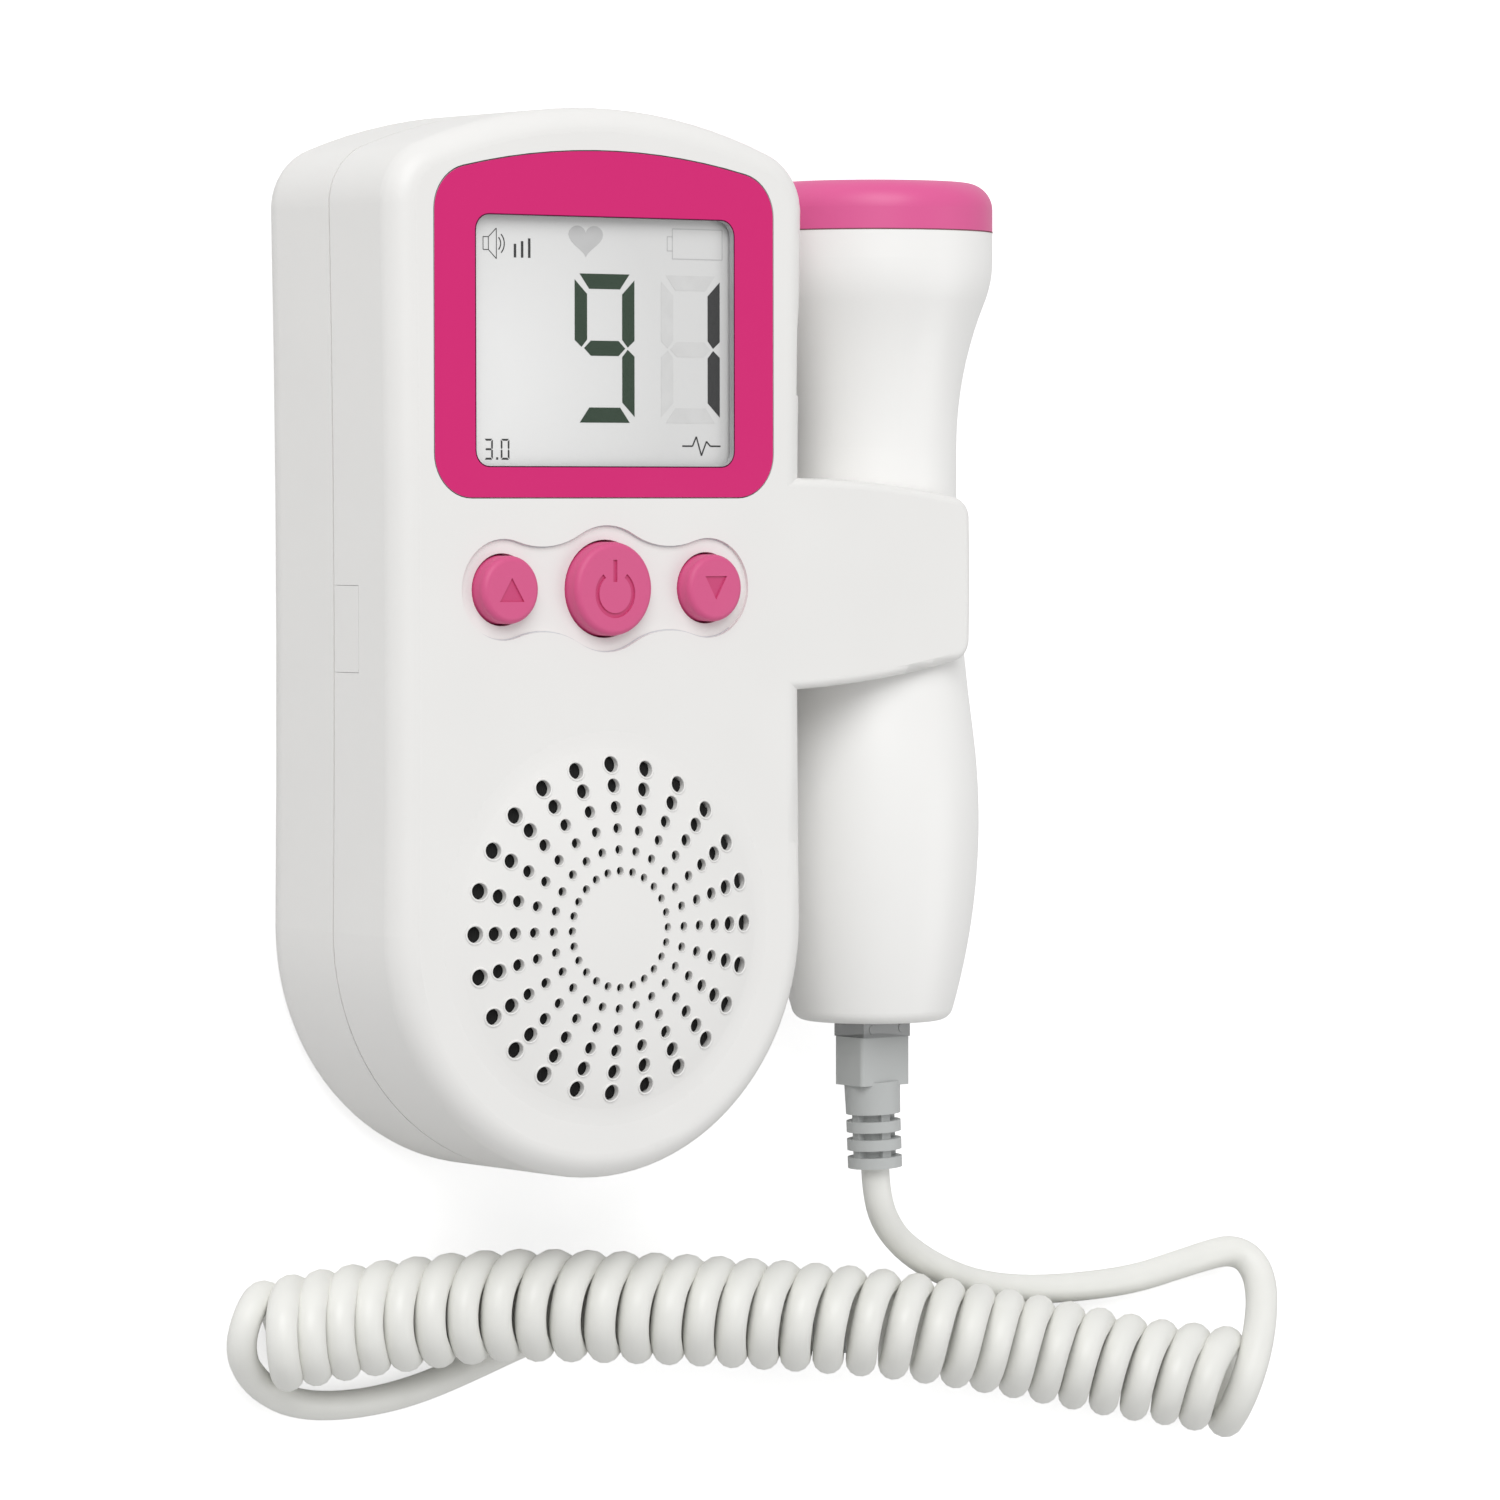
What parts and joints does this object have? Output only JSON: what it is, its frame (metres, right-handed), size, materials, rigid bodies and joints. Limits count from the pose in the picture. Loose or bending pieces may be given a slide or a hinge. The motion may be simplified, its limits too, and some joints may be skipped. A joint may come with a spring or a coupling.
{
  "type": "fetal doppler monitor",
  "caption": "Pocket fetal heart monitor: handset with display, buttons and domed speaker grille, ultrasound probe in its side clip, coiled lead.",
  "frame": {"origin": "centre of the handset's flat back, on the surface it lies on", "axes": "+X towards the probe, +Y towards the display end, +Z out of the front face"},
  "size_m": [0.1728, 0.1795, 0.0342],
  "materials": {
    "shell_white": "satin moulded plastic",
    "bezel_magenta": "glossy moulded plastic",
    "button_pink": "soft satin",
    "clear_window": "clear, glossy",
    "lcd_grey": "display, pale grey",
    "light_guide": "milky",
    "board_green": "solder mask",
    "part_black": "moulded",
    "cone_black": "pressed paper",
    "cloth_black": "woven",
    "plated_steel": "plated",
    "magnet_steel": "plated",
    "cell_sleeve": "printed sleeve, plain",
    "gilt_contact": "gilt",
    "socket_black": "moulded",
    "cap_pink": "satin moulded plastic",
    "disc_ceramic": "fired ceramic with silver faces",
    "plug_clear": "clear moulded plastic",
    "boot_grey": "soft satin",
    "cord_white": "soft satin jacket"
  },
  "bodies": {
    "handset": {"front_shell": "shell_white", "rear_shell": "shell_white", "side_port_cover": "shell_white", "shell_screws": "plated_steel", "battery_cells": "cell_sleeve", "battery_springs": "plated_steel", "battery_contacts": "plated_steel", "display_bezel": "bezel_magenta", "display_window": "clear_window", "lcd_panel": "lcd_grey", "backlight_plate": "light_guide", "main_board": "board_green", "board_chips": "part_black", "push_switches": "part_black", "speaker_frame": "plated_steel", "speaker_cone": "cone_black", "speaker_magnet": "magnet_steel", "speaker_cloth": "cloth_black", "cable_socket": "socket_black", "cable_socket_contacts": "gilt_contact"},
    "power_button": {"power_button": "button_pink"},
    "volume_up_button": {"volume_up_button": "button_pink"},
    "volume_down_button": {"volume_down_button": "button_pink"},
    "battery_door": {"battery_door": "shell_white"},
    "probe": {"probe_body": "shell_white", "probe_cap": "cap_pink", "transducer_disc": "disc_ceramic", "probe_board": "board_green", "probe_socket": "socket_black", "probe_socket_contacts": "gilt_contact"},
    "lead": {"probe_plug": "plug_clear", "probe_plug_contacts": "gilt_contact", "probe_boot": "boot_grey", "probe_lead": "cord_white", "cord_coil": "cord_white", "free_lead": "cord_white", "free_boot": "boot_grey", "free_plug": "plug_clear", "free_plug_contacts": "gilt_contact"}
  },
  "joints": [
    {"name": "power_button_press", "type": "slide", "parent": "handset", "child": "power_button", "axis": [0, 0, -1], "range_m": [0, 0.0008], "stiffness_N_per_m": 300},
    {"name": "volume_up_button_press", "type": "slide", "parent": "handset", "child": "volume_up_button", "axis": [0, 0, -1], "range_m": [0, 0.0008], "stiffness_N_per_m": 300},
    {"name": "volume_down_button_press", "type": "slide", "parent": "handset", "child": "volume_down_button", "axis": [0, 0, -1], "range_m": [0, 0.0008], "stiffness_N_per_m": 300},
    {"name": "battery_door_hinge", "type": "hinge", "parent": "handset", "child": "battery_door", "pos_m": [0, 0.0591, 0.0009], "axis": [1, 0, 0], "range_deg": [0, 70]},
    {"name": "probe_unclip", "type": "slide", "parent": "handset", "child": "probe", "axis": [1, 0, 0], "range_m": [0, 0.04]},
    {"name": "plug_release", "type": "slide", "parent": "probe", "child": "lead", "axis": [0, -1, 0], "range_m": [0, 0.012]}
  ]
}
